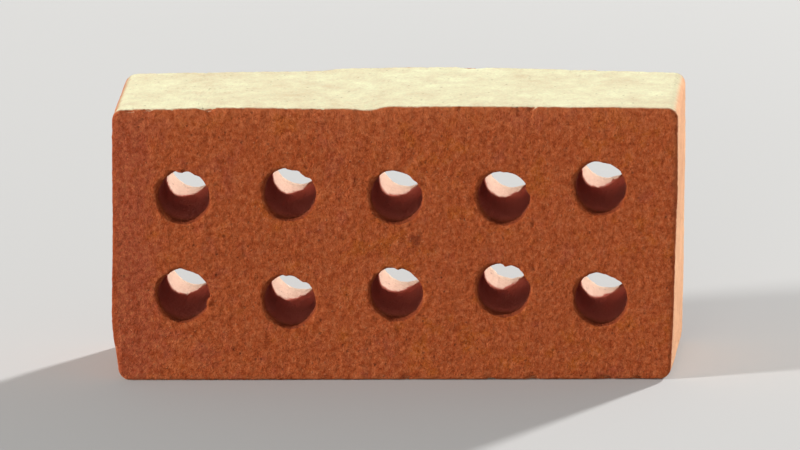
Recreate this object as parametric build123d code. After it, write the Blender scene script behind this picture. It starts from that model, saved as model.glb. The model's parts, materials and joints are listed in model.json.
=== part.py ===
from build123d import *
import os

# Perforated clay brick, stood on one long narrow face, as such bricks are dried and stacked.
# Clay is pushed through a die, which forms the rounded section with its ten holes,
# and a wire cuts the column into bricks.
# Millimetres. X runs along the length, Y through the thickness that the wire sets, and Z up the width.
# The origin is the middle of the narrow face that the brick stands on.

# Size of the fired brick
length = 230.0
width = 113.0
thickness = 75.0

# Edges: the die rounds the long ones, and handling dulls the ones that the wire leaves
die_corner_radius = 4.5
cut_edge_radius = 1.2

# Two rows of round holes, left by the cores of the die. Each row starts and ends at a set distance
# from the brick's ends, with its other holes spread evenly, and the last hole stands a little nearer
# to its neighbour than the rest do. The rows lie either side of a line just below the brick's middle.
hole_radius = 10.5
first_hole_inset = 29.3
last_hole_inset = 31.3
last_hole_shift = 3.8
row_spacing = 42.0
rows_below_middle = 1.0

# How far the flow of clay has pushed each core up or down from its row, first hole to last
lower_row_drift = (0.5, -2.0, 1.0, 2.5, -1.5)
upper_row_drift = (-0.5, 0.5, -1.0, -1.5, 2.5)


def row_of_holes(height, drifts):
    """Centres (x, z) of one row of holes at the given height."""
    last = len(drifts) - 1
    pitch = (length - first_hole_inset - last_hole_inset + last_hole_shift) / last
    centres = []
    for number, drift in enumerate(drifts):
        shift = last_hole_shift if number == last else 0
        x = -length / 2 + first_hole_inset + number * pitch - shift
        centres.append((x, height + drift))
    return centres


def die_section():
    """The outline that the die gives the clay, with its holes, on the back cut face and above Z = 0."""
    middle_of_rows = width / 2 - rows_below_middle
    lower_row = row_of_holes(middle_of_rows - row_spacing / 2, lower_row_drift)
    upper_row = row_of_holes(middle_of_rows + row_spacing / 2, upper_row_drift)
    back_face = Plane.XZ.offset(-thickness / 2)
    with BuildSketch(back_face) as section:
        with Locations((0, width / 2)):
            RectangleRounded(length, width, die_corner_radius)
        with Locations(*lower_row, *upper_row):
            Circle(hole_radius, mode=Mode.SUBTRACT)
    return section.sketch


def clay_brick():
    """One brick: the section carried from the back cut face to the front one, with its cut edges dulled."""
    block = extrude(die_section(), amount=thickness)
    cut_faces = block.faces().filter_by(Axis.Y)
    cut_edges = [edge for face in cut_faces for edge in face.outer_wire().edges()]
    return fillet(cut_edges, cut_edge_radius)


brick = clay_brick()
brick.label = "clay_brick"
os.makedirs("parts", exist_ok=True)
export_step(brick, "parts/clay_brick.step")
print("clay_brick: volume", round(brick.volume / 1000, 1), "cm3, size", brick.bounding_box().size)
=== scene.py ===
# %% [markdown]
# # A perforated clay brick
# This lesson dresses one brick. Its real sizes come from the CAD frame: a rounded block of clay,
# pushed through a die, with ten round holes, and cut from the column by a wire. The looks are the
# wire's torn and dragged faces, the smoother skin that the die leaves, ragged hole mouths, dulled
# edges, and a pale bloom on the top and the right end that is partly dust and partly painted sunlight,
# with more painted sunlight inside the holes and painted shade at their mouths and on the left arris.

# %% Load the frame
import json
import math
import random

import bmesh
import bpy
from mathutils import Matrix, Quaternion, Vector


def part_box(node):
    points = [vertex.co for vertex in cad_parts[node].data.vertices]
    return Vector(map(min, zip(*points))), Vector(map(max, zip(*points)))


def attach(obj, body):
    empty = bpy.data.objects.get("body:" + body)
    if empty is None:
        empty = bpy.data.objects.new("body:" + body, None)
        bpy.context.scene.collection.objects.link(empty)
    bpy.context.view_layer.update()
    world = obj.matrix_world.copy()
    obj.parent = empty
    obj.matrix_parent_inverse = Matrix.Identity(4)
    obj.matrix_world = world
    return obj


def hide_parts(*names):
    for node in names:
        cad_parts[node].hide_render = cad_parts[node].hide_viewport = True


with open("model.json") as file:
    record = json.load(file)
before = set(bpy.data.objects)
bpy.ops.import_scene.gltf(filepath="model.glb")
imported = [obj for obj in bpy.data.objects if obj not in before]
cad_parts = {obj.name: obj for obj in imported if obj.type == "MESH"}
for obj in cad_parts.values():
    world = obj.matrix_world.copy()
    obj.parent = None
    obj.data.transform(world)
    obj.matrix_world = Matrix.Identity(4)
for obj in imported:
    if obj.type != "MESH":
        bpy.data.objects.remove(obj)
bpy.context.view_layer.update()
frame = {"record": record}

MM = 0.001
low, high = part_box("clay_brick")
size = high - low
middle = (low + high) / 2
bores = [mount for mount in frame["record"]["mounts"] if mount["kind"] == "bore"]
bore_radius = bores[0]["dims"]["r_mm"] * MM
hole_centres = {mount["name"]: Vector(mount["pos_m"]) for mount in bores}
print("block", [round(side / MM, 1) for side in size], "mm")
print(len(bores), "holes of", bore_radius / MM, "mm radius")

# %% [markdown]
# ## The camera
# The brick is seen from some way off through a long lens, a little from the right and from above, so
# its edges stay nearly parallel. The camera is placed on a line from the middle of the brick, at two
# angles, and the lens is worked out from the width of the view, which keeps the framing right if the
# distance changes. It is held a degree out of level, which lifts the brick's right end in the picture.

# %% Camera
CAMERA_AZIMUTH = math.radians(3.7)
CAMERA_ELEVATION = math.radians(12)
CAMERA_ROLL = math.radians(-0.95)
CAMERA_DISTANCE = 6.0
VIEW_WIDTH = 0.3262


def towards(azimuth, elevation):
    """A direction from the brick: azimuth 0 is in front of it and 90 degrees on its right."""
    level = math.cos(elevation)
    return Vector((math.sin(azimuth) * level, -math.cos(azimuth) * level, math.sin(elevation)))


def aim(thing, target, roll=0.0):
    """Turns a lamp or a camera to look at a point, and then about its own line of sight."""
    level = (target - thing.location).to_track_quat("-Z", "Y")
    thing.rotation_euler = (level @ Quaternion((0, 0, 1), roll)).to_euler()


back = towards(CAMERA_AZIMUTH, CAMERA_ELEVATION)
bpy.ops.object.select_all(action="DESELECT")
bpy.ops.object.camera_add(location=middle + CAMERA_DISTANCE * back)
camera = bpy.context.active_object
camera.data.lens = camera.data.sensor_width * CAMERA_DISTANCE / VIEW_WIDTH
aim(camera, middle, CAMERA_ROLL)
bpy.context.scene.camera = camera
bpy.context.scene.view_settings.view_transform = "Standard"
print("lens", round(camera.data.lens), "mm")

# %% [markdown]
# ## The lamps
# Soft studio light, with its strongest lamp low behind the brick and to the right, like a late sun. It
# lights the right end, and shines through the holes onto the far part of their floors and left walls.
# One at the upper left lights the top, and grazes the near face, which brings out its relief. A wide
# one in front is low too, so that the holes stay dark, and with the even light of the world it keeps
# the near face at the colour that it has.
# A lamp's power is worked out from the brightness wanted at the brick, where 1 shows a colour as
# it is written, so that moving a lamp doesn't change the exposure.

# %% Lamps
LAMPS = {
    # name: (azimuth, elevation, distance, width, brightness)
    "key_low_behind_right": (149, 19, 6.0, 0.5, 1.95),
    "grazing_upper_left": (-70, 20, 6.0, 0.8, 1.37),
    "fill_low_in_front": (-3, 8, 6.0, 1.6, 0.48),
}

for name, (azimuth, elevation, distance, width, brightness) in LAMPS.items():
    place = middle + distance * towards(math.radians(azimuth), math.radians(elevation))
    bpy.ops.object.light_add(type="AREA", location=place)
    lamp = bpy.context.active_object
    lamp.name = name
    lamp.data.shape = "DISK"
    lamp.data.size = width
    lamp.data.energy = brightness * (math.pi * distance) ** 2
    aim(lamp, middle)
print(len(LAMPS), "lamps")

# %% [markdown]
# ## The world
# The world gives even light from all round. What the camera sees of it, straight or through glass or
# in a gloss, is a plain pale background instead. Light Path tells the two apart, and a mix shader
# chooses between them, so the background can be pale without lighting the brick more.

# %% World
WORLD_LIGHT = 0.45
WORLD_SEEN = (0.80, 0.79, 0.77, 1)

world = bpy.data.worlds.new("studio")
bpy.context.scene.world = world
world.use_nodes = True
world_nodes, link = world.node_tree.nodes, world.node_tree.links.new
shown = world_nodes["Background"]
shown.inputs["Color"].default_value = WORLD_SEEN
lighting = world_nodes.new("ShaderNodeBackground")
lighting.inputs["Strength"].default_value = WORLD_LIGHT
path = world_nodes.new("ShaderNodeLightPath")
seen = path.outputs["Is Camera Ray"]
for kind in ("Is Glossy Ray", "Is Transmission Ray"):
    either = world_nodes.new("ShaderNodeMath")
    either.operation = "MAXIMUM"
    link(seen, either.inputs[0])
    link(path.outputs[kind], either.inputs[1])
    seen = either.outputs[0]
choose = world_nodes.new("ShaderNodeMixShader")
for number, socket in enumerate((seen, lighting.outputs[0], shown.outputs[0])):
    link(socket, choose.inputs[number])
link(choose.outputs[0], world_nodes["World Output"].inputs["Surface"])
print("world:", len(world_nodes), "nodes")

# %% [markdown]
# ## The floor
# A wide, plain, pale floor, level with the face that the brick stands on. It is grey enough that the
# light from above shows it pale without washing it out, and it keeps the brick's soft shadow.

# %% Floor
FLOOR_WIDTH = 30
FLOOR_COLOUR = (0.375, 0.371, 0.361, 1)
FLOOR_ROUGHNESS = 0.9

bpy.ops.mesh.primitive_plane_add(size=FLOOR_WIDTH, location=(0, 0, low.z))
floor = bpy.context.active_object
floor.name = "floor"
floor_paint = bpy.data.materials.new("floor_paint")
floor_paint.use_nodes = True
paint = floor_paint.node_tree.nodes["Principled BSDF"]
paint.inputs["Base Color"].default_value = FLOOR_COLOUR
paint.inputs["Roughness"].default_value = FLOOR_ROUGHNESS
floor.data.materials.append(floor_paint)
print("floor", FLOOR_WIDTH, "m wide")

# %% [markdown]
# ## The block
# The die gives the column of clay rounded long edges, and the wire leaves sharper ones that handling
# then dulls. A cube is added at the brick's size, and both kinds of edge are bevelled in edit mode,
# the long ones first, so that the second bevel runs smoothly round the corners.

# %% Block with its edges
DIE_CORNER, DIE_CORNER_STEPS = 4.5 * MM, 6
CUT_EDGE, CUT_EDGE_STEPS = 1.2 * MM, 3


def select_edges(thing, wanted):
    """In edit mode, selects just the edges that pass a test."""
    bpy.ops.mesh.select_mode(type="EDGE")
    mesh = bmesh.from_edit_mesh(thing.data)
    for edge in mesh.edges:
        edge.select_set(wanted(edge))
    mesh.select_flush_mode()
    bmesh.update_edit_mesh(thing.data)


def runs_through(edge):
    """Does the edge run along Y, through the brick's thickness?"""
    way = edge.verts[0].co - edge.verts[1].co
    return abs(way.y) > max(abs(way.x), abs(way.z))


def on_cut_face(edge):
    """Does the edge lie in one of the two faces that the wire cut? All the others run through."""
    return not runs_through(edge)


bpy.ops.object.select_all(action="DESELECT")
bpy.ops.mesh.primitive_cube_add(size=1, location=middle, scale=size)
brick = bpy.context.active_object
brick.name = "brick_of_fired_clay"
bpy.ops.object.transform_apply(location=True, rotation=True, scale=True)
bpy.ops.object.mode_set(mode="EDIT")
select_edges(brick, runs_through)
bpy.ops.mesh.bevel(offset=DIE_CORNER, segments=DIE_CORNER_STEPS, affect="EDGES")
select_edges(brick, on_cut_face)
bpy.ops.mesh.bevel(offset=CUT_EDGE, segments=CUT_EDGE_STEPS, affect="EDGES")
bpy.ops.object.mode_set(mode="OBJECT")
print("block:", len(brick.data.polygons), "faces")

# %% [markdown]
# ## The holes
# One core is a cylinder, a little longer than the brick is thick. One stands at each place that the
# record gives, all are joined, and one boolean cuts them. The same helper makes thinner rods later.

# %% Holes
CORE_SIDES = 64
CORE_OVERSHOOT = 6 * MM


def join(things):
    """Joins mesh objects into the first one, with its place applied."""
    bpy.ops.object.select_all(action="DESELECT")
    for thing in things:
        thing.select_set(True)
    bpy.context.view_layer.objects.active = things[0]
    bpy.ops.object.join()
    bpy.ops.object.transform_apply(location=True, rotation=True, scale=True)
    return things[0]


def rods(sides, radius, length):
    """One mesh with a rod on the axis of every hole."""
    made = []
    for centre in hole_centres.values():
        bpy.ops.mesh.primitive_cylinder_add(
            vertices=sides, radius=radius, depth=length, location=centre, rotation=(math.pi / 2, 0, 0),
        )
        made.append(bpy.context.active_object)
    return join(made)


def apply_modifiers(thing):
    """Applies every modifier of one object, top to bottom."""
    bpy.ops.object.select_all(action="DESELECT")
    thing.select_set(True)
    bpy.context.view_layer.objects.active = thing
    for name in [modifier.name for modifier in thing.modifiers]:
        bpy.ops.object.modifier_apply(modifier=name)


cores = rods(CORE_SIDES, bore_radius, size.y + 2 * CORE_OVERSHOOT)
cut = brick.modifiers.new("cores", "BOOLEAN")
cut.operation = "DIFFERENCE"
cut.solver = "EXACT"
cut.object = cores
apply_modifiers(brick)
bpy.data.objects.remove(cores)
print("with holes:", len(brick.data.polygons), "faces")

# %% [markdown]
# ## Burrs at the mouths
# Where the wire leaves the clay at the upper rim of a hole, it drags a few crumbs over the edge. Each
# is a small ball, flattened against the rim. A seeded draw places them, mostly on the upper half. One
# larger lump hangs in the back mouth of the fourth lower hole and shades part of its floor, and two
# smaller ones hang in the second.

# %% Burrs
random.seed(11)
BURRS_PER_MOUTH = (1, 3)
# Least and greatest reach from a burr's middle, in millimetres
BURR_LENGTH, BURR_HEIGHT, BURR_DEPTH = (0.8, 2.4), (0.4, 0.9), (0.6, 1.3)
# Mean angle and its spread: 90 degrees is the top of the hole
BURR_ANGLE = (90, 55)
# A burr's middle lies in from the rim by a share of its height, and in from the face by a share of its depth
IN_FROM_RIM, IN_FROM_FACE = 0.2, 0.5
FRONT, BACK = -1, 1
LARGE_LUMPS = [
    # hole, side, angle, length, height, depth
    ("hole_lower_4", BACK, 150, 4.2, 3.2, 1.6),
    ("hole_lower_2", BACK, 118, 1.8, 2.2, 1.2),
    ("hole_lower_2", BACK, 20, 1.6, 1.6, 1.0),
]


def burr(centre, side, angle, length, height, depth):
    """Adds one crumb at the front or back mouth of a hole."""
    turn = math.radians(angle)
    way = Vector((math.cos(turn), 0, math.sin(turn)))
    place = centre + way * (bore_radius - IN_FROM_RIM * height * MM)
    place.y = side * (size.y / 2 - IN_FROM_FACE * depth * MM)
    bpy.ops.mesh.primitive_ico_sphere_add(
        subdivisions=2, radius=MM, location=place, rotation=(0, -turn, 0), scale=(height, depth, length),
    )
    return bpy.context.active_object


lumps = []
for centre in hole_centres.values():
    for side in (FRONT, BACK):
        for _ in range(random.randint(*BURRS_PER_MOUTH)):
            shape = [random.uniform(*span) for span in (BURR_LENGTH, BURR_HEIGHT, BURR_DEPTH)]
            lumps.append(burr(centre, side, random.gauss(*BURR_ANGLE), *shape))
for hole, side, *shape in LARGE_LUMPS:
    lumps.append(burr(hole_centres[hole], side, *shape))
join([brick] + lumps)
print(len(lumps), "burrs")

# %% [markdown]
# ## An even mesh
# Relief needs points to move, spread evenly over the faces and closely enough for the smallest pit.
# Subdividing would follow the long thin faces of the boolean. A voxel remesh rebuilds the surface in
# small squares instead, and softens every edge by a fraction of a millimetre, as clay does.

# %% Even mesh
VOXEL = 0.62 * MM

remesh = brick.modifiers.new("even_mesh", "REMESH")
remesh.mode = "VOXEL"
remesh.voxel_size = VOXEL
apply_modifiers(brick)
print("even mesh:", len(brick.data.polygons), "faces")

# %% [markdown]
# ## Nodes that work for shape and for colour
# Sums, ramps and patterns are the same nodes in a geometry tree and in a material, so two small
# classes build them for both. The first has the sums and ramps. All lengths in a tree are
# millimetres, because that is how a brick is measured.

# %% Node sums


class Nodes:
    """Builds a node tree: each method adds one effect and returns the socket that carries it."""

    def __init__(self, tree):
        self.tree = tree

    def feed(self, socket, value):
        """Links a socket to an input, or sets the input to a plain value."""
        if isinstance(value, bpy.types.NodeSocket):
            self.tree.links.new(value, socket)
        else:
            socket.default_value = value

    def add(self, kind, inputs=(), **settings):
        """Adds one node, with its settings and what goes into it."""
        node = self.tree.nodes.new(kind)
        for name, value in settings.items():
            setattr(node, name, value)
        for key, value in dict(inputs).items():
            self.feed(node.inputs[key], value)
        return node

    def math(self, operation, *values):
        return self.add("ShaderNodeMath", enumerate(values), operation=operation).outputs[0]

    def minus(self, value, less):
        return self.math("SUBTRACT", value, less)

    def rest(self, share):
        """What a share from 0 to 1 leaves over."""
        return self.minus(1.0, share)

    def absolute(self, value):
        return self.math("ABSOLUTE", value)

    def times(self, *values):
        product = values[0]
        for value in values[1:]:
            product = self.math("MULTIPLY", product, value)
        return product

    def total(self, *values):
        result = values[0]
        for value in values[1:]:
            result = self.math("ADD", result, value)
        return result

    def ramp(self, value, start, end, low=0.0, high=1.0, kind="SMOOTHSTEP"):
        """Goes smoothly from low to high as a value goes from start to end."""
        keys = {"Value": value, "From Min": start, "From Max": end, "To Min": low, "To Max": high}
        return self.add("ShaderNodeMapRange", keys, interpolation_type=kind).outputs[0]

    def ramp_linear(self, value, start, end, low=0.0, high=1.0):
        """Goes evenly from low to high as a value goes from start to end."""
        return self.ramp(value, start, end, low, high, kind="LINEAR")

    def vectors(self, operation, *values, output="Vector"):
        """Works on whole vectors. A length, distance or dot product comes from the output Value."""
        return self.add("ShaderNodeVectorMath", enumerate(values), operation=operation).outputs[output]

    def stretch(self, vector, factors):
        return self.vectors("MULTIPLY", vector, factors)

    def axes(self, vector):
        """The X, Y and Z of a vector."""
        return self.add("ShaderNodeSeparateXYZ", {0: vector}).outputs[:3]

    def vector(self, x, y, z):
        return self.add("ShaderNodeCombineXYZ", {0: x, 1: y, 2: z}).outputs[0]


# %% [markdown]
# ## Patterns in clay
# The second class adds three patterns: soft noise for waves and clouds, scattered spots for pits and
# grains, and a ragged shift that spoils the roundness of a spot. Each is drawn in space and not on a
# face, so it runs round the edges and down into the holes. From here on, the settings of a pattern are
# kept together under one name, and a span is the part of a pattern that a ramp takes.

# %% Node patterns


class Patterns(Nodes):
    """Adds noise, ragged outlines and spots to the sums."""

    # A noise texture stays mostly between these two values, and its middle is halfway
    NOISE_LOW, NOISE_MIDDLE, NOISE_HIGH = 0.25, 0.5, 0.75
    RAGGED_DETAIL = 3.0
    SMALLEST_SPOT = 0.35

    def noise(self, place, grain, detail=2.0, roughness=0.5, stretch=(1, 1, 1)):
        """Soft noise from -1 to 1 whose lumps measure about one grain."""
        place = self.stretch(place, [factor / grain for factor in stretch])
        keys = {"Vector": place, "Scale": 1.0, "Detail": detail, "Roughness": roughness}
        value = self.add("ShaderNodeTexNoise", keys).outputs[0]
        return self.ramp_linear(value, self.NOISE_LOW, self.NOISE_HIGH, -1.0, 1.0)

    def ragged(self, place, grain, reach):
        """Shifts each point by noise, so that whatever is drawn from there has a ragged outline."""
        place_in_noise = self.stretch(place, [1 / grain] * 3)
        keys = {"Vector": place_in_noise, "Scale": 1.0, "Detail": self.RAGGED_DETAIL}
        shift = self.add("ShaderNodeTexNoise", keys).outputs["Color"]
        shift = self.vectors("SUBTRACT", shift, [self.NOISE_MIDDLE] * 3)
        return self.vectors("ADD", place, self.stretch(shift, [2 * reach] * 3))

    def spots(self, place, spacing, share, radius, stretch=(1, 1, 1)):
        """Scattered round spots of mixed sizes, 1 in their middles and 0 outside them."""
        place = self.stretch(place, [factor / spacing for factor in stretch])
        node = self.add("ShaderNodeTexVoronoi", {"Vector": place, "Scale": 1.0})
        chance, spread, _ = self.axes(node.outputs["Color"])
        reach = self.times(self.ramp_linear(spread, 0, 1, self.SMALLEST_SPOT, 1.0), radius / spacing)
        near = self.math("DIVIDE", node.outputs["Distance"], reach)
        return self.times(self.ramp(near, 1.0, 0.0), self.math("LESS_THAN", chance, share))


# %% [markdown]
# ## Relief
# A geometry tree with one Set Position node moves every point of the mesh by an offset, which the
# steps below work out from the point's place and its normal. It is applied at once, so that the next
# one starts from the new shape.

# %% Relief helper
HALF_LENGTH, HALF_THICKNESS, HALF_WIDTH = size / MM / 2
WIDTH = size.z / MM
RADIUS = bore_radius / MM


def relief(thing, name, build):
    """Moves each point of an object by what build(nodes, place, normal) says, in millimetres."""
    tree = bpy.data.node_groups.new(name, "GeometryNodeTree")
    for in_out in ("INPUT", "OUTPUT"):
        tree.interface.new_socket("Geometry", in_out=in_out, socket_type="NodeSocketGeometry")
    nodes = Patterns(tree)
    entry = nodes.add("NodeGroupInput").outputs[0]
    place = nodes.stretch(nodes.add("GeometryNodeInputPosition").outputs[0], [1 / MM] * 3)
    normal = nodes.add("GeometryNodeInputNormal").outputs[0]
    offset = nodes.stretch(build(nodes, place, normal), [MM] * 3)
    moved = nodes.add("GeometryNodeSetPosition", {"Geometry": entry, "Offset": offset}).outputs[0]
    nodes.add("NodeGroupOutput", {0: moved})
    modifier = thing.modifiers.new(name, "NODES")
    modifier.node_group = tree
    apply_modifiers(thing)
    print(name, "applied to", len(thing.data.vertices), "points")


def along(nodes, way, distance):
    """An offset of a given distance along a direction."""
    return nodes.add("ShaderNodeVectorMath", {0: way, "Scale": distance}, operation="SCALE").outputs[0]


# %% [markdown]
# ## The shape that the clay settled into
# Green bricks are soft. This one has a top that crowns towards the back, a shallow step that runs
# slantwise across it, a dent in its front edge beside the step, a right end that leans in at its foot,
# and a left end that is pressed in at its heel. The whole block has slumped a degree to the right. These
# are slow changes of shape, so they're formulas in X, Y and Z, with a wide soft noise.

# %% Settled shape
# All in millimetres, except the slants of the step and of the slump
CROWN_FRONT, CROWN_BACK, CROWN_DROP = 1.1, 2.3, 0.6
# The changes to the top reach down to here
TOP_FROM = 0.45 * WIDTH
STEP_DEPTH, STEP_WIDTH, STEP_FADE = 0.9, 6.0, 80.0
STEP_MIDDLE, STEP_SLANT = -18.6, -0.31
DENT_PLACE, DENT_RADIUS, DENT_DEPTH = (-10.0, -36.5, 113.0), 9.0, 0.8
LEAN_FRONT, LEAN_BACK, LEAN_TOP, LEAN_START = 3.0, 1.2, 80.0, 92.0
HEEL, HEEL_TOP, HEEL_START = 3.0, 27.0, -92.0
SLUMP = 0.018
WARP_HEIGHT, WARP = 0.45, {"grain": 75.0, "detail": 1.0}
# X, Y and Z warp apart, because each reads its noise from another height
WARP_SHIFTS = (0, 300, 600)


def front_to_back(nodes, y, front, back):
    """Goes evenly from one value on the front face to another on the back one."""
    return nodes.ramp_linear(y, -HALF_THICKNESS, HALF_THICKNESS, front, back)


def rise_of_top(nodes, place, upper):
    """How far the top has risen, with its crown, less its step and its dent."""
    x, y, _ = nodes.axes(place)
    bow = nodes.rest(nodes.math("POWER", nodes.times(x, 1 / HALF_LENGTH), 2.0))
    crown = nodes.times(bow, front_to_back(nodes, y, CROWN_FRONT, CROWN_BACK))
    past = nodes.minus(x, nodes.total(nodes.times(y, STEP_SLANT), STEP_MIDDLE))
    step = nodes.times(nodes.ramp(past, STEP_WIDTH, -STEP_WIDTH), nodes.ramp(past, -STEP_FADE, -STEP_WIDTH))
    rise = nodes.minus(nodes.minus(crown, CROWN_DROP), nodes.times(step, STEP_DEPTH))
    away = nodes.vectors("DISTANCE", place, DENT_PLACE, output="Value")
    dent = nodes.times(nodes.ramp(away, DENT_RADIUS, 0.0), DENT_DEPTH)
    return nodes.minus(nodes.times(upper, rise), dent)


def shift_of_ends(nodes, place):
    """How far the leaning right end and the pressed left heel have moved along X."""
    x, y, z = nodes.axes(place)
    foot = front_to_back(nodes, y, LEAN_FRONT, LEAN_BACK)
    foot = nodes.times(foot, nodes.ramp_linear(z, LEAN_TOP, 0.0))
    lean = nodes.times(foot, nodes.ramp(x, LEAN_START, HALF_LENGTH), -1.0)
    heel = nodes.times(nodes.ramp(z, HEEL_TOP, 0.0), nodes.ramp(x, HEEL_START, -HALF_LENGTH), HEEL)
    return nodes.total(lean, heel)


def settled(nodes, place, normal):
    x, y, z = nodes.axes(place)
    upper = nodes.ramp(z, TOP_FROM, WIDTH)
    warp_x, warp_y, warp_z = [
        nodes.noise(nodes.vector(x, y, nodes.total(z, shift)), **WARP) for shift in WARP_SHIFTS
    ]
    slump = nodes.times(nodes.minus(z, HALF_WIDTH), SLUMP)
    offset_x = nodes.total(shift_of_ends(nodes, place), slump, nodes.times(warp_x, WARP_HEIGHT))
    offset_z = nodes.total(rise_of_top(nodes, place, upper), nodes.times(warp_z, WARP_HEIGHT, upper))
    return nodes.vector(offset_x, nodes.times(warp_y, WARP_HEIGHT), offset_z)


relief(brick, "settled_shape", settled)

# %% [markdown]
# ## The way out from each hole
# To move a hole's rim, the nodes have to know which way is out. A needle stands on each hole's axis,
# and the nearest point of a needle gives both the direction away from the axis and the distance. The
# rims also need to know how far in from a cut face they lie.

# %% Distance from the holes
NEEDLE_SIDES, NEEDLE_RADIUS = 3, 0.01 * MM

needles = rods(NEEDLE_SIDES, NEEDLE_RADIUS, size.y)


def from_axis(nodes, place):
    """The way out from the nearest hole's axis, one millimetre long, and the distance from it."""
    source = nodes.add("GeometryNodeObjectInfo", {"Object": needles}).outputs["Geometry"]
    nearest = nodes.add("GeometryNodeProximity", {0: source}, target_element="FACES").outputs["Position"]
    away = nodes.vectors("SUBTRACT", place, nodes.stretch(nearest, [1 / MM] * 3))
    away = nodes.stretch(away, (1, 0, 1))
    return nodes.vectors("NORMALIZE", away), nodes.vectors("LENGTH", away, output="Value")


def from_cut_face(nodes, place):
    """How far in from the nearer cut face a point lies."""
    return nodes.minus(HALF_THICKNESS, nodes.absolute(nodes.axes(place)[1]))


print(len(hole_centres), "axes")

# %% [markdown]
# ## The hole mouths
# The wire tears the rim of each hole as it leaves the clay and pushes the far rim over as it meets
# the clay again, so the mouths are ragged. On the front it left every hole at the upper left, and tore
# the rim furthest there. Points near a rim are moved out from the axis or in towards it, by noise.

# %% Ragged hole mouths
# The rim is what lies this near to the cut face and to the hole's wall
MOUTH_DEPTH, MOUTH_REACH = 3.2, 2.2
# How far each effect moves the rim or the wall, and its noise
DULLED = 0.3
TEAR_REACH, TEAR = 0.45, {"grain": 6.0, "detail": 3.0, "stretch": (1, 0.4, 1)}
LIP_REACH, SINK_REACH, LIP = 0.6, 0.4, {"grain": 5.0}
LIP_SPAN, ABOVE_SPAN = (0.1, 0.8), (-0.2, 0.8)
SWAY_REACH, SWAY = 0.4, {"grain": 9.0, "stretch": (1, 0.25, 1)}
WALL_EDGE = (RADIUS + 2.0, RADIUS + 0.5)
EXIT_REACH, EXIT, EXIT_SPAN = 1.6, {"grain": 7.0}, (-1.0, 1.0, 0.5, 1.2)
EXIT_DEPTH, EXIT_WIDTH = 7.0, 4.5
# Up and to the left, and how nearly the way out has to point there
EXIT_WAY, EXIT_SECTOR = (-0.7, 0, 0.71), (0.6, 1.0)


def wire_exit(nodes, place, out, depth, beside):
    """How far the front rims are torn open where the wire left each hole."""
    same_way = nodes.vectors("DOT_PRODUCT", out, EXIT_WAY, output="Value")
    on_front = nodes.math("LESS_THAN", nodes.axes(place)[1], 0.0)
    opened = nodes.times(nodes.ramp(depth, EXIT_DEPTH, 0.0), nodes.ramp(beside, EXIT_WIDTH, 0.0))
    opened = nodes.times(opened, nodes.ramp(same_way, *EXIT_SECTOR), on_front, EXIT_REACH)
    return nodes.times(opened, nodes.ramp_linear(nodes.noise(place, **EXIT), *EXIT_SPAN))


def mouths(nodes, place, normal):
    out, distance = from_axis(nodes, place)
    depth = from_cut_face(nodes, place)
    beside = nodes.absolute(nodes.minus(distance, RADIUS))
    rim = nodes.times(nodes.ramp(depth, MOUTH_DEPTH, 0.0), nodes.ramp(beside, MOUTH_REACH, 0.0))
    on_wall = nodes.ramp(distance, *WALL_EDGE)
    above = nodes.ramp(nodes.axes(out)[2], *ABOVE_SPAN)
    torn = nodes.times(nodes.math("MAXIMUM", nodes.noise(place, **TEAR), 0.0), rim, TEAR_REACH)
    lip = nodes.times(nodes.ramp(nodes.noise(place, **LIP), *LIP_SPAN), rim, above, LIP_REACH)
    sway = nodes.times(nodes.noise(place, **SWAY), on_wall, SWAY_REACH)
    opened = wire_exit(nodes, place, out, depth, beside)
    radial = nodes.total(torn, nodes.times(lip, -1.0), sway, nodes.times(rim, DULLED), opened)
    side = nodes.math("SIGN", nodes.axes(place)[1])
    sink = nodes.times(nodes.noise(place, **LIP), rim, SINK_REACH, side, -1.0)
    return nodes.vectors("ADD", along(nodes, out, radial), nodes.vector(0.0, sink, 0.0))


relief(brick, "ragged_mouths", mouths)
bpy.data.objects.remove(needles)

# %% [markdown]
# ## What the wire leaves
# Grit on the wire drags fine lines down a cut face and plucks pits out of it. The lines are noise,
# stretched along Z, that wanders a little sideways and is scored deeper in some bands than in others.
# The pits are spots with ragged outlines. The colour needs the same lines and pits as the shape, so
# both come from helpers.

# %% Drag lines and pits
WANDER, WANDERING = 3.0, {"grain": 40.0, "detail": 1.0}
DRAG = {"grain": 3.4, "detail": 3.0, "roughness": 0.55, "stretch": (1, 1, 0.03)}
BANDS, BANDS_SPAN = {"grain": 34.0}, (-0.4, 0.5, 0.25, 1.0)
PITS, PIT_OUTLINE = {"spacing": 8.0, "share": 0.14, "radius": 1.9}, {"grain": 2.5, "reach": 1.3}
SMALL_PITS, SMALL_OUTLINE = {"spacing": 3.0, "share": 0.16, "radius": 0.9}, {"grain": 1.5, "reach": 0.5}


def wandering(nodes, place):
    """Shifts each point sideways, so that what is drawn down the face wanders."""
    x, y, z = nodes.axes(place)
    return nodes.vector(nodes.total(x, nodes.times(nodes.noise(place, **WANDERING), WANDER)), y, z)


def scored(nodes, place):
    """How deeply each band of the face is scored, up to 1."""
    x, y, z = nodes.axes(place)
    return nodes.ramp(nodes.noise(nodes.vector(y, z, x), **BANDS), *BANDS_SPAN)


def plucked(nodes, place):
    """The pits that grit left in a cut face, large and small, from 0 to 1."""
    large = nodes.spots(nodes.ragged(place, **PIT_OUTLINE), **PITS)
    small = nodes.spots(nodes.ragged(place, **SMALL_OUTLINE), **SMALL_PITS)
    return large, small


print("drag lines about", DRAG["grain"], "mm apart")

# %% [markdown]
# ## The faces that the wire cut
# Besides its lines and pits, the wire leaves a few deeper tracks, crumbs that stick, torn patches and
# an even roughness, and its own shaking leaves low waves across. All of it is masked to where the
# surface faces front or back.

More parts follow.
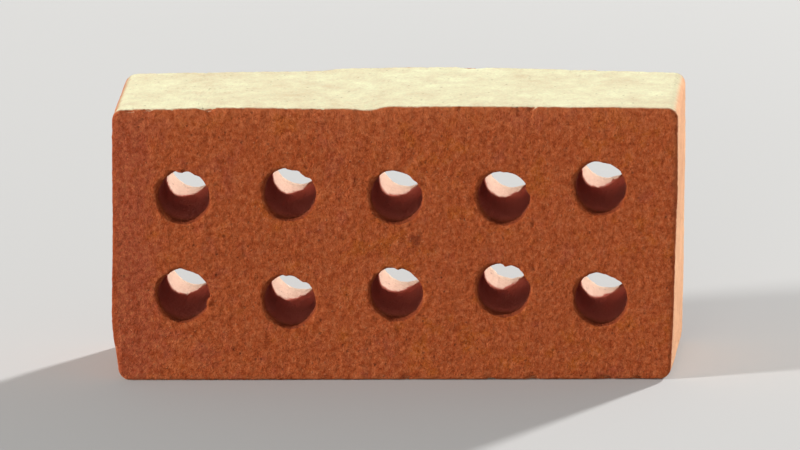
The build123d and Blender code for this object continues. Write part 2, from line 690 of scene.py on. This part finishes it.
# %% Wire-cut relief
CUT_FACING = (0.45, 0.85)
DRAG_HEIGHT = 0.20
WAVE_HEIGHT, WAVES = 0.15, {"grain": 16.0, "stretch": (0.25, 1, 1)}
ROUGH_HEIGHT, ROUGH = 0.40, {"grain": 2.4, "detail": 3.0, "roughness": 0.65}
TRACK_DEPTH, TRACKS = 0.6, {"spacing": 6.0, "share": 0.14, "radius": 0.9, "stretch": (1, 1, 0.07)}
PIT_DEPTH, SMALL_PIT_DEPTH = 1.1, 0.8
CRUMB_HEIGHT, CRUMBS = 0.7, {"spacing": 5.0, "share": 0.16, "radius": 1.1}
CRUMB_OUTLINE = {"grain": 2.0, "reach": 0.6}
TORN_DEPTH, TORN, TORN_SPAN = 0.5, {"grain": 2.4, "detail": 3.0, "roughness": 0.6}, (-0.1, 0.9)
TORN_PATCHES, PATCHES_SPAN = {"grain": 22.0}, (0.05, 0.6)


def wire_cut(nodes, place, normal):
    facing = nodes.ramp(nodes.absolute(nodes.axes(normal)[1]), *CUT_FACING)
    dragged = wandering(nodes, place)
    lines = nodes.times(nodes.noise(dragged, **DRAG), scored(nodes, place), DRAG_HEIGHT)
    waves = nodes.times(nodes.noise(place, **WAVES), WAVE_HEIGHT)
    rough = nodes.times(nodes.noise(place, **ROUGH), ROUGH_HEIGHT)
    crumbs = nodes.times(nodes.spots(nodes.ragged(place, **CRUMB_OUTLINE), **CRUMBS), CRUMB_HEIGHT)
    tracks = nodes.times(nodes.spots(dragged, **TRACKS), TRACK_DEPTH)
    pits, small_pits = plucked(nodes, place)
    pits = nodes.times(pits, PIT_DEPTH)
    small_pits = nodes.times(small_pits, SMALL_PIT_DEPTH)
    patches = nodes.ramp(nodes.noise(place, **TORN_PATCHES), *PATCHES_SPAN)
    torn = nodes.times(nodes.ramp(nodes.noise(place, **TORN), *TORN_SPAN), patches, TORN_DEPTH)
    raised = nodes.total(lines, waves, rough, crumbs)
    sunk = nodes.total(tracks, pits, small_pits, torn)
    return along(nodes, normal, nodes.times(nodes.minus(raised, sunk), facing))


relief(brick, "wire_cut_faces", wire_cut)

# %% [markdown]
# ## The skin that the die leaves
# The narrow faces, the ends and the walls of the holes slid along the die. They are smoother, with
# fine lines along Y, the odd deeper scratch, and shallow knocks from handling.

# %% Die-skin relief
SKIN_FACING = (0.8, 0.4)
LINE_HEIGHT, LINES = 0.09, {"grain": 1.6, "detail": 3.0, "roughness": 0.6, "stretch": (1, 0.02, 1)}
SCRATCH_DEPTH, SCRATCH_SPAN = 0.22, (0.55, 0.95)
SCRATCHES = {"grain": 3.2, "detail": 1.0, "stretch": (1, 0.03, 1)}
KNOCK_DEPTH, KNOCKS = 0.5, {"spacing": 24.0, "share": 0.35, "radius": 9.0}
SKIN_PIT_DEPTH, SKIN_PITS = 0.5, {"spacing": 5.0, "share": 0.08, "radius": 1.0}
SKIN_ROUGH_HEIGHT, SKIN_ROUGH = 0.10, {"grain": 3.0, "detail": 3.0, "roughness": 0.6}


def die_skin(nodes, place, normal):
    on_skin = nodes.ramp(nodes.absolute(nodes.axes(normal)[1]), *SKIN_FACING)
    lines = nodes.times(nodes.noise(place, **LINES), LINE_HEIGHT)
    scratches = nodes.times(nodes.ramp(nodes.noise(place, **SCRATCHES), *SCRATCH_SPAN), SCRATCH_DEPTH)
    knocks = nodes.times(nodes.spots(place, **KNOCKS), KNOCK_DEPTH)
    pits = nodes.times(nodes.spots(place, **SKIN_PITS), SKIN_PIT_DEPTH)
    rough = nodes.times(nodes.noise(place, **SKIN_ROUGH), SKIN_ROUGH_HEIGHT)
    raised = nodes.total(lines, rough)
    sunk = nodes.total(scratches, knocks, pits)
    return along(nodes, normal, nodes.times(nodes.minus(raised, sunk), on_skin))


relief(brick, "die_skin", die_skin)

# %% [markdown]
# ## Dulled and chipped edges
# The edges round the cut faces are the weakest. Their distance from the sides and from the cut face
# gives a mask, and noise in that mask pushes them in, a little everywhere and further at a few chips.

# %% Worn edges
EDGE_REACH = 3.2
WEAR_DEPTH, WEAR = 0.35, {"grain": 2.2, "detail": 3.0, "roughness": 0.6}
CHIP_DEPTH, CHIPS, CHIP_SPAN = 1.3, {"grain": 10.0, "detail": 3.0, "roughness": 0.55}, (0.42, 0.75)


def from_outline(nodes, place):
    """How far in a point lies from the nearer end, and from the nearer narrow face."""
    x, _, z = nodes.axes(place)
    from_end = nodes.minus(HALF_LENGTH, nodes.absolute(x))
    from_narrow = nodes.minus(HALF_WIDTH, nodes.absolute(nodes.minus(z, HALF_WIDTH)))
    return from_end, from_narrow


def worn(nodes, place, normal):
    outline = nodes.ramp(nodes.math("MINIMUM", *from_outline(nodes, place)), EDGE_REACH, 0.0)
    edge = nodes.times(outline, nodes.ramp(from_cut_face(nodes, place), EDGE_REACH, 0.0))
    wear = nodes.times(nodes.ramp_linear(nodes.noise(place, **WEAR), -1, 1), WEAR_DEPTH)
    chips = nodes.times(nodes.ramp(nodes.noise(place, **CHIPS), *CHIP_SPAN), CHIP_DEPTH)
    return along(nodes, normal, nodes.times(nodes.total(wear, chips), edge, -1.0))


relief(brick, "worn_edges", worn)

# %% [markdown]
# ## Fewer triangles
# Most of the even mesh is spent on places that came out nearly flat. Decimate collapses those first
# and keeps the pits, rims and chips. Nothing may sink below the face that the brick stands on.

# %% Thinned mesh
MOST_TRIANGLES = 190_000

for point in brick.data.vertices:
    point.co.z = max(point.co.z, low.z)
thin = brick.modifiers.new("fewer_triangles", "DECIMATE")
thin.ratio = min(1.0, MOST_TRIANGLES / (2 * len(brick.data.polygons)))
apply_modifiers(brick)
triangles = sum(len(face.vertices) - 2 for face in brick.data.polygons)
print("brick:", triangles, "triangles")

# %% [markdown]
# ## Fired clay
# One material covers the brick, because it is one lump of clay, and masks tell its faces apart: the
# cut ones by their normal along Y, and the rest by their place in the block and the way they face.
# Colour comes in layers, each mixed over the last by a share from 0 to 1.

# %% A material and its masks
CUT_COLOURED = (0.45, 0.8)
# A mix node has sockets for numbers and vectors too, so the ones for colours go by their places
MIX_BELOW, MIX_ABOVE, MIX_RESULT = 6, 7, 2

clay = bpy.data.materials.new("fired_clay")
clay.use_nodes = True
shader = clay.node_tree.nodes["Principled BSDF"]
nodes = Patterns(clay.node_tree)
where = nodes.add("ShaderNodeTexCoord").outputs
place = nodes.stretch(where["Object"], [1 / MM] * 3)
x, y, z = nodes.axes(place)
facing_x, facing_y, facing_z = nodes.axes(where["Normal"])
from_end, from_narrow = from_outline(nodes, place)
from_cut = from_cut_face(nodes, place)
cut_face = nodes.ramp(nodes.absolute(facing_y), *CUT_COLOURED)
off_cut_face = nodes.rest(cut_face)


def mix(nodes, share, below, above):
    """Lays one colour over another by a share from 0 to 1."""
    node = nodes.add("ShaderNodeMix", {0: share}, data_type="RGBA")
    nodes.feed(node.inputs[MIX_BELOW], below)
    nodes.feed(node.inputs[MIX_ABOVE], above)
    return node.outputs[MIX_RESULT]


print("masks:", len(nodes.tree.nodes), "nodes")

# %% [markdown]
# ## Clouds in the clay
# Clay is never mixed quite evenly, and fires redder in some places and more ochre in others. Two
# noises, one broad and one fine, give both clouds. The left strip of the face fired redder, and the
# strip under the top is a little paler. The skin has its own, warmer colour.

# %% Clouds of colour
CLAY = (0.314, 0.067, 0.020, 1)
CLAY_RED = (0.290, 0.061, 0.027, 1)
CLAY_OCHRE = (0.330, 0.077, 0.012, 1)
SKIN = (0.365, 0.078, 0.026, 1)
WORN = (0.42, 0.118, 0.044, 1)
CLOUDS = {"grain": 28.0, "detail": 3.0, "roughness": 0.6}
MOTTLE = {"grain": 7.0, "detail": 3.0, "roughness": 0.65}
# Each span is a ramp: from, to, and then the share at each end where it isn't 0 and 1
MOTTLE_IN_RED, RED_SPAN = 0.7, (-0.2, -1.1, 0.0, 0.75)
MOTTLE_IN_OCHRE, OCHRE_SPAN = 0.8, (0.2, 1.2, 0.0, 0.75)
LEFT_RAGGED, LEFT_SPAN = 6.0, (-92.0, -106.0, 0.0, 0.9)
UPPER_SPAN = (WIDTH - 14.0, WIDTH - 2.0, 0.0, 0.25)
SKIN_SPAN = (0.0, 1.2)

clouds = nodes.noise(place, **CLOUDS)
mottle = nodes.noise(place, **MOTTLE)
redder = nodes.ramp(nodes.total(clouds, nodes.times(mottle, MOTTLE_IN_RED)), *RED_SPAN)
more_ochre = nodes.ramp(nodes.total(clouds, nodes.times(mottle, MOTTLE_IN_OCHRE)), *OCHRE_SPAN)
left_strip = nodes.ramp(nodes.total(x, nodes.times(mottle, LEFT_RAGGED)), *LEFT_SPAN)
body = mix(nodes, redder, CLAY, CLAY_RED)
body = mix(nodes, more_ochre, body, CLAY_OCHRE)
body = mix(nodes, left_strip, body, CLAY_RED)
body = mix(nodes, nodes.ramp(z, *UPPER_SPAN), body, WORN)
skin = mix(nodes, nodes.ramp(mottle, *SKIN_SPAN), SKIN, WORN)
colour = mix(nodes, cut_face, skin, body)
print("with clouds:", len(nodes.tree.nodes), "nodes")

# %% [markdown]
# ## Streaks, pits and grain
# The drag lines show as darker and paler streaks, as faint as the lines are shallow, and pits get a
# painted shade, because little light gets in. Over the whole brick lies the grain of the clay, in two
# sizes: each is one noise whose high places are darker and whose low ones are paler.

# %% Streaks, pits and grain
CLAY_DEEP = (0.205, 0.029, 0.006, 1)
SHADE = (0.17, 0.032, 0.012, 1)
STREAK_DARK, STREAK_DARK_SPAN = 0.14, (0.2, 1.1)
STREAK_PALE, STREAK_PALE_SPAN = 0.12, (-0.2, -1.1)
PAINTED_PIT_SHADE = 0.45
GRIT = {"grain": 2.0, "detail": 4.0, "roughness": 0.75}
GRIT_DARK, GRIT_PALE = (0.10, 0.42, 0.0, 0.60), (-0.10, -0.42, 0.0, 0.60)
GRAIN = {"grain": 1.1, "detail": 4.0, "roughness": 0.8}
GRAIN_DARK, GRAIN_PALE = (0.15, 0.70, 0.0, 0.75), (-0.15, -0.70, 0.0, 0.70)

streaks = nodes.noise(wandering(nodes, place), **DRAG)
in_bands = nodes.times(cut_face, scored(nodes, place))
dark_streaks = nodes.times(nodes.ramp(streaks, *STREAK_DARK_SPAN), in_bands, STREAK_DARK)
pale_streaks = nodes.times(nodes.ramp(streaks, *STREAK_PALE_SPAN), in_bands, STREAK_PALE)
colour = mix(nodes, dark_streaks, colour, SHADE)
colour = mix(nodes, pale_streaks, colour, WORN)
# Painted shade in the pits of the cut faces
colour = mix(nodes, nodes.times(nodes.total(*plucked(nodes, place)), cut_face, PAINTED_PIT_SHADE), colour, SHADE)

grit = nodes.noise(place, **GRIT)
colour = mix(nodes, nodes.ramp(grit, *GRIT_DARK), colour, CLAY_DEEP)
colour = mix(nodes, nodes.ramp(grit, *GRIT_PALE), colour, WORN)
grain = nodes.noise(place, **GRAIN)
colour = mix(nodes, nodes.ramp(grain, *GRAIN_DARK), colour, SHADE)
colour = mix(nodes, nodes.ramp(grain, *GRAIN_PALE), colour, WORN)
print("with grain:", len(nodes.tree.nodes), "nodes")

# %% [markdown]
# ## Rubbed edges
# Handling rubs the edges and leaves them paler. A point is on an edge where it is near two kinds of
# face at once, which is the product of two of the masks, and noise breaks the pale line up.

# %% Rubbed edges
NEAR_FACE = (3.0, 0.3)
RUBBED, RUBBED_SPAN = {"grain": 3.5, "detail": 3.0, "roughness": 0.65}, (-0.5, 0.6)
RUBBED_SHARE = 0.55

near_end, near_cut, near_narrow = [
    nodes.ramp(distance, *NEAR_FACE) for distance in (from_end, from_cut, from_narrow)
]
edge = nodes.total(
    nodes.times(near_end, near_cut), nodes.times(near_cut, near_narrow), nodes.times(near_end, near_narrow),
)
rubbed = nodes.ramp(nodes.noise(place, **RUBBED), *RUBBED_SPAN)
colour = mix(nodes, nodes.times(nodes.math("MINIMUM", edge, 1.0), rubbed, RUBBED_SHARE), colour, WORN)
print("with edges:", len(nodes.tree.nodes), "nodes")

# %% [markdown]
# ## Inside the holes
# The walls are all that is neither outside skin nor cut face. Deep inside, the clay is a clean brick
# red. Just inside the mouths, the walls that face up and to the left get a painted shade, so that they
# don't show as a bright ring.

# %% Hole walls and painted shade on the lips
HOLE_WALL = (0.52, 0.125, 0.082, 1)
OUTSIDE_SPAN = (8.0, 4.0)
WALL_SPAN = (3.0, 14.0)
PAINTED_LIP_SHADE, LIP_DEPTH, LIP_FACING = 0.8, (9.0, 4.0), (0.0, 0.6)

outside = nodes.ramp(nodes.math("MINIMUM", from_end, from_narrow), *OUTSIDE_SPAN)
wall = nodes.times(nodes.rest(outside), off_cut_face)
lip_facing = nodes.ramp(nodes.minus(facing_z, facing_x), *LIP_FACING)
# Painted shade: the walls just inside the mouths that face up and to the left are darkened
painted_shade_on_lips = nodes.times(wall, nodes.ramp(from_cut, *LIP_DEPTH), lip_facing)
colour = mix(nodes, nodes.times(wall, nodes.ramp(from_cut, *WALL_SPAN)), colour, HOLE_WALL)
colour = mix(nodes, nodes.times(painted_shade_on_lips, PAINTED_LIP_SHADE), colour, SHADE)
print("with walls:", len(nodes.tree.nodes), "nodes")

# %% [markdown]
# ## Bloom and painted sunlight
# A pale bloom on the outer skin is partly dust and salts and partly painted sunlight: cream where it
# faces up, warmer on the right end, and thin on the left end, which is in shade. It keeps off the
# arrises, is patchy and flecked, and rain has washed it thinner in places.

# %% Bloom and painted sunlight on the skin
BLOOM_AND_PAINTED_SUN = (0.80, 0.84, 0.56, 1)
BLOOM_AND_PAINTED_SUN_ON_ENDS = (0.90, 0.53, 0.305, 1)
LOOKS_UP = (0.45, 0.95)
OFF_ARRIS = (0.3, 2.5)
PAINTED_SUN_LEFT_TO_RIGHT = (-0.85, -0.35, 0.35, 1.0)
BLOOM_PATCHES, PATCHES_RANGE = {"grain": 9.0, "detail": 4.0, "roughness": 0.65}, (-1.0, 1.0, 0.7, 1.0)
FLECKS, FLECKS_RANGE = {"grain": 1.2, "detail": 3.0, "roughness": 0.7}, (-1.0, 1.0, 0.75, 1.0)
WASHED, WASHED_RANGE = {"grain": 34.0, "detail": 3.0, "roughness": 0.6}, (-0.9, 0.6, 0.8, 1.0)

patchy = nodes.ramp_linear(nodes.noise(place, **BLOOM_PATCHES), *PATCHES_RANGE)
flecked = nodes.ramp_linear(nodes.noise(place, **FLECKS), *FLECKS_RANGE)
washed = nodes.ramp_linear(nodes.noise(nodes.vector(z, x, y), **WASHED), *WASHED_RANGE)
on_skin = nodes.times(outside, nodes.ramp(from_cut, *OFF_ARRIS), off_cut_face)
# Painted sunlight on the top and the right end, and painted shade as a thinner bloom on the left end
on_skin = nodes.times(on_skin, nodes.ramp(facing_x, *PAINTED_SUN_LEFT_TO_RIGHT))
bloom_and_painted_sun = mix(nodes, nodes.ramp(facing_z, *LOOKS_UP), BLOOM_AND_PAINTED_SUN_ON_ENDS, BLOOM_AND_PAINTED_SUN)
colour = mix(nodes, nodes.times(on_skin, patchy, washed, flecked), colour, bloom_and_painted_sun)
print("with bloom:", len(nodes.tree.nodes), "nodes")

# %% [markdown]
# ## Painted sunlight in the holes
# Where low sun would reach in through the back mouths, the walls get painted sunlight, a pale clay
# furthest in on the floor and on the left wall. Where the pale part starts is worked out from how much
# the wall faces right and how much it faces up. This is light painted as colour, so it stays under any
# lamp. The left arris of the near face gets a painted shade, a darker red.

# %% Painted sunlight in the holes and painted shade on the arris
PAINTED_SUN_IN_HOLES = (0.88, 0.655, 0.495, 1)
# The Y at which it starts, and how that changes with the wall's facing in X and in Z
SUN_REACH_FROM, SUN_REACH_BY_X, SUN_REACH_BY_Z = 37.5, -23.6, -15.9
SUN_REACH_SPAN, PAINTED_SUN_SHARE = (-2.0, 3.0), 0.94
SHADED_ARRIS_X, SHADED_ARRIS_Y, ARRIS_SHADE_SHARE = (-112.0, -114.5), (-31.0, -35.0), 0.6

# Painted sunlight: pale clay on the hole walls as far in as low light from the back right would reach
starts = nodes.total(SUN_REACH_FROM, nodes.times(facing_x, SUN_REACH_BY_X), nodes.times(facing_z, SUN_REACH_BY_Z))
painted_sun_mask = nodes.times(nodes.ramp(nodes.minus(y, starts), *SUN_REACH_SPAN), PAINTED_SUN_SHARE, wall)
# Painted shade: a darker red on the left arris of the near face, which is out of the light
painted_shade_on_left_arris = nodes.times(nodes.ramp(x, *SHADED_ARRIS_X), nodes.ramp(y, *SHADED_ARRIS_Y))
colour = mix(nodes, nodes.times(painted_sun_mask, flecked), colour, PAINTED_SUN_IN_HOLES)
colour = mix(nodes, nodes.times(painted_shade_on_left_arris, ARRIS_SHADE_SHARE), colour, CLAY_DEEP)
print("with bleaching:", len(nodes.tree.nodes), "nodes")

# %% [markdown]
# ## A scuff, iron specks and sand
# A dark rubbed spot lies between the two rows of holes. Specks of iron and grains of sand are
# scattered spots, the sand drawn from the mirrored place so that the two don't fall together.

# %% Scuff, specks and sand
SCUFF_PLACE, SCUFF_SPAN = (8.0, -37.5, 58.0), (4.5, 0.5, 0.0, 0.75)
SCUFF_RAGGED = 2.0
SCUFF_OUTLINE = {"grain": 2.5, "detail": 3.0, "roughness": 0.65, "stretch": (0.5, 1, 1.4)}
IRON = (0.085, 0.025, 0.014, 1)
SPECK_SHARE, SPECKS = 0.6, {"spacing": 2.2, "share": 0.20, "radius": 0.8}
PALE_SAND = (0.50, 0.24, 0.12, 1)
SAND_SHARE, SAND = 0.3, {"spacing": 1.7, "share": 0.28, "radius": 0.6}

from_scuff = nodes.vectors("DISTANCE", place, SCUFF_PLACE, output="Value")
from_scuff = nodes.total(from_scuff, nodes.times(nodes.noise(place, **SCUFF_OUTLINE), SCUFF_RAGGED))
specks = nodes.spots(place, **SPECKS)
sand = nodes.spots(nodes.stretch(place, (-1, -1, -1)), **SAND)
colour = mix(nodes, nodes.ramp(from_scuff, *SCUFF_SPAN), colour, SHADE)
colour = mix(nodes, nodes.times(specks, SPECK_SHARE), colour, IRON)
colour = mix(nodes, nodes.times(sand, SAND_SHARE), colour, PALE_SAND)
nodes.feed(shader.inputs["Base Color"], colour)
print("with specks:", len(nodes.tree.nodes), "nodes")

# %% [markdown]
# ## Bump and finish
# Grain too fine for the mesh goes into the bump, stronger on the cut faces than on the skin. Fired
# clay is quite dull, so the surface is fully rough with hardly any reflection.

# %% Bump and finish
FINE_HEIGHT, FINE = 0.24, {"grain": 0.7, "detail": 3.0, "roughness": 0.7}
COARSE_HEIGHT, COARSE = 0.45, {"grain": 1.9, "detail": 4.0, "roughness": 0.72}
SAND_HEIGHT, SPECK_HEIGHT = 0.5, -0.6
BUMP_ON_SKIN = 0.55
ROUGHNESS, SPECULAR = 1.0, 0.04

fine = nodes.times(nodes.noise(place, **FINE), FINE_HEIGHT)
coarse = nodes.times(nodes.noise(place, **COARSE), COARSE_HEIGHT)
height = nodes.total(fine, coarse, nodes.times(sand, SAND_HEIGHT), nodes.times(specks, SPECK_HEIGHT))
height = nodes.times(height, nodes.ramp_linear(cut_face, 0.0, 1.0, BUMP_ON_SKIN, 1.0))
bump = nodes.add("ShaderNodeBump", {"Strength": 1.0, "Distance": MM, "Height": height})
nodes.feed(shader.inputs["Normal"], bump.outputs[0])
shader.inputs["Roughness"].default_value = ROUGHNESS
shader.inputs["Specular IOR Level"].default_value = SPECULAR

brick.data.materials.clear()
brick.data.materials.append(clay)
for face in brick.data.polygons:
    face.use_smooth = True
print("fired clay:", len(nodes.tree.nodes), "nodes")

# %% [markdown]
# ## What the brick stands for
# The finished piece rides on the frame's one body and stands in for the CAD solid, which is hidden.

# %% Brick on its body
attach(brick, "root")
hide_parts("clay_brick")
